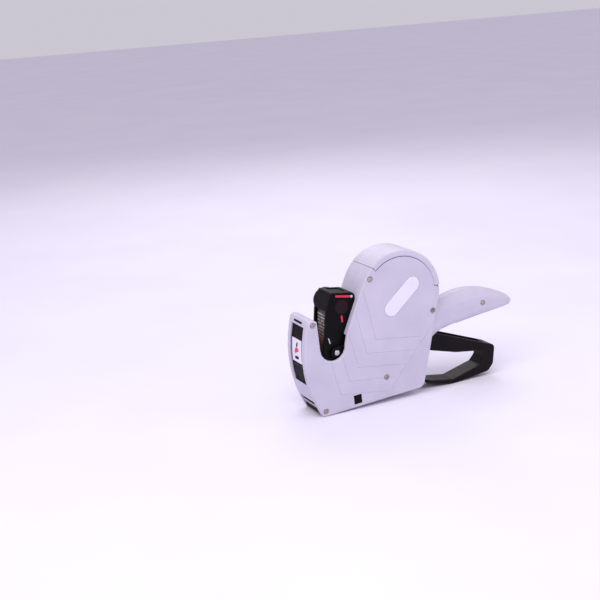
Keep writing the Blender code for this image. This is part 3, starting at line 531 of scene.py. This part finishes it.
def return_spring(m):
    """The lever's coil spring, which shortens as the lever is squeezed; here it is one fixed coil."""
    around, steps = 10, SPRING_TURNS * 24
    upwards = Vector((0.0, 0.0, 1.0))
    work = bmesh.new()
    rings = []
    for i in range(steps + 1):
        angle = math.tau * SPRING_TURNS * i / steps
        out = Vector((math.cos(angle), math.sin(angle), 0.0))
        height = SPRING_Z[0] + (SPRING_Z[1] - SPRING_Z[0]) * i / steps
        centre = Vector((SPRING_X, 0.0, height)) + out * SPRING_R
        ring = []
        for k in range(around):
            turn = math.tau * k / around
            ring.append(work.verts.new(centre + SPRING_WIRE_R * (out * math.cos(turn)
                                                                 + upwards * math.sin(turn))))
        rings.append(ring)
    for low, high in zip(rings, rings[1:]):
        for k in range(around):
            work.faces.new((low[k], low[k - 1], high[k - 1], high[k]))
    work.faces.new(rings[0])
    work.faces.new(reversed(rings[-1]))
    coil = object_from("return_coil", work)
    finish(coil, m["steel"])
    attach(coil, "casing")
    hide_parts("lever_spring")
    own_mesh(coil)


def knob(m):
    """The selector's dial, fluted round its rim, with a dished face and a finger bar."""
    y0, y1, radius = 17.8, 22.2, 10.8
    work = bmesh.new()
    profile = [(0.0, -8.6), (1.95, -8.6), (1.95, y0), (10.0, y0), (radius, y0 + 0.5), (radius, y0 + 1.6),
               (radius, y1 - 1.3), (10.3, y1 - 0.4), (9.7, y1), (8.3, y1), (7.5, y1 - 0.7), (0.0, y1 - 0.7)]
    turned(work, SELECTOR, profile, 168, 28, 0.55, (3, 4, 5, 6))
    dial = object_from("fluted_knob", work, 28.0)
    finish(dial, m["black"])
    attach(dial, "selector_knob")
    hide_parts("selector_knob")
    work = bmesh.new()
    prism(work, pill((SELECTOR[0] - 4.6, SELECTOR[1]), (SELECTOR[0] + 4.6, SELECTOR[1]), 1.1, 9),
          (y1 - 0.9, y1 - 0.1))
    bar = object_from("knob_finger_bar", work)
    soften(bar, 0.25)
    finish(bar, m["black"])
    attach(bar, "selector_knob")


def soften(item, width, segments=2):
    change = item.modifiers.new("edges", "BEVEL")
    change.width = width * MM
    change.segments = segments
    change.limit_method = "ANGLE"


def plain_piece(name, work, body, material, edge=0.0):
    item = object_from(name, work)
    if edge:
        soften(item, edge)
    finish(item, material)
    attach(item, body)


def head_trim(m):
    """Marks, clip and moulded panel line on the print head."""
    work = bmesh.new()
    prism(work, pill((24.4, 80.3), (24.5, 75.7), 0.75), (-CHEEK - 0.22, -CHEEK - 0.02))
    plain_piece("size_mark", work, "lever", m["red"], 0.06)
    work = bmesh.new()
    prism(work, pill((10.2, 64.2), (11.0, 60.0), 0.5), (-CHEEK - 0.3, -CHEEK - 0.02))
    plain_piece("cheek_clip", work, "lever", m["steel"], 0.1)
    work = bmesh.new()
    ring = arc(SELECTOR, 6.95, 0.0, 352.5, 48)
    inner = arc(SELECTOR, 6.62, 0.0, 352.5, 48)
    low, high = -CHEEK - 0.16, -CHEEK - 0.01
    loops = [[work.verts.new((x, y, z)) for x, z in line] for line, y in
             ((ring, low), (inner, low), (inner, high), (ring, high))]
    for a in range(4):
        first, second = loops[a], loops[(a + 1) % 4]
        for i in range(48):
            j = (i + 1) % 48
            work.faces.new((first[i], first[j], second[j], second[i]))
    plain_piece("cap_rim", work, "lever", m["black"])


def type_slugs(m):
    """Rows of raised type on the front run of each band."""
    anvil, wheel = Vector((12.8, 50.2)), Vector((16.4, 83.0))
    r_low, r_high = 4.3, 4.1
    run = wheel - anvil
    lean = math.asin((r_high - r_low) / run.length)
    direction = run.normalized()
    out = Vector((-direction.y, direction.x))
    normal = out * math.cos(lean) - direction * math.sin(lean)
    start, end = anvil + normal * r_low, wheel + normal * r_high
    along = (end - start).normalized()
    work = bmesh.new()
    for band in range(BANDS):
        middle = (band - (BANDS - 1) / 2.0) * BAND_PITCH
        for row in range(TYPE_ROWS):
            at = start + (end - start) * ((row + 0.55) / TYPE_ROWS)
            half = 0.78 if (band + row) % 3 else 0.62
            depth = 0.28
            wide = 0.62 if (band * 5 + row * 3) % 4 else 0.5
            base = [at - along * half, at + along * half]
            tip = [at + normal * depth - along * half * 0.82, at + normal * depth + along * half * 0.82]
            low = [work.verts.new((p.x, middle + s * wide, p.y)) for p in base for s in (-1.0, 1.0)]
            top = [work.verts.new((p.x, middle + s * wide * 0.82, p.y)) for p in tip for s in (-1.0, 1.0)]
            for quad in ((low[0], low[1], low[3], low[2]), (top[0], top[2], top[3], top[1]),
                         (low[0], top[0], top[1], low[1]), (low[2], low[3], top[3], top[2]),
                         (low[0], low[2], top[2], top[0]), (low[1], top[1], top[3], low[3])):
                work.faces.new(quad)
    plain_piece("raised_type", work, "lever", m["slug"])


def door_trim(m):
    """Generic marks on the door's card and the finger ledge below it."""
    proud = 0.72
    work = bmesh.new()
    on_nose(work, pill((-0.9, 63.8), (-0.3, 61.8), 1.15, 7), proud, 0.1)
    on_nose(work, pill((-2.2, 51.7), (2.4, 51.3), 1.25, 7), proud, 0.1)
    plain_piece("card_black_marks", work, "ink_door", m["slot"])
    work = bmesh.new()
    on_nose(work, arc((-0.4, 56.2), 4.1, -25.0, 155.0, 18), proud, 0.1)
    plain_piece("card_red_mark", work, "ink_door", m["red"])
    work = bmesh.new()
    on_nose(work, [(-8.0, 44.6), (8.0, 44.6), (8.0, 45.6), (-8.0, 45.6)], 0.95, 0.35)
    plain_piece("door_finger_ledge", work, "ink_door", m["lever"], 0.1)


def nose_slot_shade(m):
    """Painted shade for the slot moulded through the cap above the ink door: a near-black sheet on the cap,
    with no hole cut.
    """
    work = bmesh.new()
    on_nose(work, pill((-6.6, 82.0), (6.6, 82.0), 0.85, 7), -0.2, 0.5)
    plain_piece("cap_slot_painted_shade", work, "casing", m["slot"])


def latch_ribs(m):
    for side, tag in ((-1.0, "left"), (1.0, "right")):
        work = bmesh.new()
        for index in range(4):
            z = 4.4 + index * 1.7
            prism(work, [(24.9, z), (30.7, z), (30.7, z + 0.7), (24.9, z + 0.7)],
                  (side * 16.6, side * 16.92))
        plain_piece(f"latch_ribs_{tag}", work, f"latch_button_{tag}", m["black"], 0.08)


# ---------------------------------------------------------------- stage

def set_camera():
    right = Vector((0.89913, -0.43337, -0.06129))
    up = Vector((0.16876, 0.21406, 0.96213))
    ahead = Vector((0.40384, 0.87543, -0.2656))
    data = bpy.data.cameras.new("camera")
    data.sensor_width = 36.0
    data.lens = 70.53
    data.clip_start = 0.01
    camera = bpy.data.objects.new("camera", data)
    bpy.context.scene.collection.objects.link(camera)
    turn = Matrix((right, up, -ahead)).transposed().to_4x4()
    camera.matrix_world = Matrix.Translation((-0.48771, -0.84511, 0.35474)) @ turn
    bpy.context.scene.camera = camera


def area_light(name, place, size, power, colour):
    data = bpy.data.lights.new(name, "AREA")
    data.size = size
    data.energy = power
    data.color = colour
    lamp = bpy.data.objects.new(name, data)
    lamp.location = place
    lamp.rotation_euler = (Vector((0.0, 0.0, 0.06)) - Vector(place)).to_track_quat("-Z", "Y").to_euler()
    bpy.context.scene.collection.objects.link(lamp)


def set_stage():
    work = bmesh.new()
    corners = [(-6.0, -6.0), (6.0, -6.0), (6.0, 6.0), (-6.0, 6.0)]
    work.faces.new([work.verts.new((x, y, 0.0)) for x, y in corners])
    mesh = bpy.data.meshes.new("floor")
    work.to_mesh(mesh)
    work.free()
    floor = bpy.data.objects.new("floor", mesh)
    bpy.context.scene.collection.objects.link(floor)
    n = Nodes("pale_floor")
    n.link(n.ramp(n.noise(6.0, 3.0), [(0.3, linear(234, 229, 244)), (0.7, linear(238, 234, 247))]),
           n.shader.inputs["Base Color"])
    n.shader.inputs["Roughness"].default_value = 0.9
    finish(floor, n.material)
    world = bpy.data.worlds.new("soft_room")
    world.use_nodes = True
    world.node_tree.nodes["Background"].inputs["Color"].default_value = linear(240, 236, 250)
    world.node_tree.nodes["Background"].inputs["Strength"].default_value = 0.68
    bpy.context.scene.world = world
    area_light("key", (-0.5, -0.5, 1.0), 0.9, 8.0, (1.0, 0.985, 0.99))
    area_light("fill", (0.9, -0.7, 0.6), 1.0, 2.6, (0.98, 0.98, 1.0))
    area_light("back", (0.3, 0.9, 0.9), 0.8, 4.0, (1.0, 1.0, 1.0))
    bpy.context.scene.view_settings.view_transform = "Standard"


finishes = make_materials()
dress_frame(finishes)
chevrons()
screws(finishes)
return_spring(finishes)
knob(finishes)
head_trim(finishes)
type_slugs(finishes)
door_trim(finishes)
nose_slot_shade(finishes)
latch_ribs(finishes)
set_stage()
set_camera()
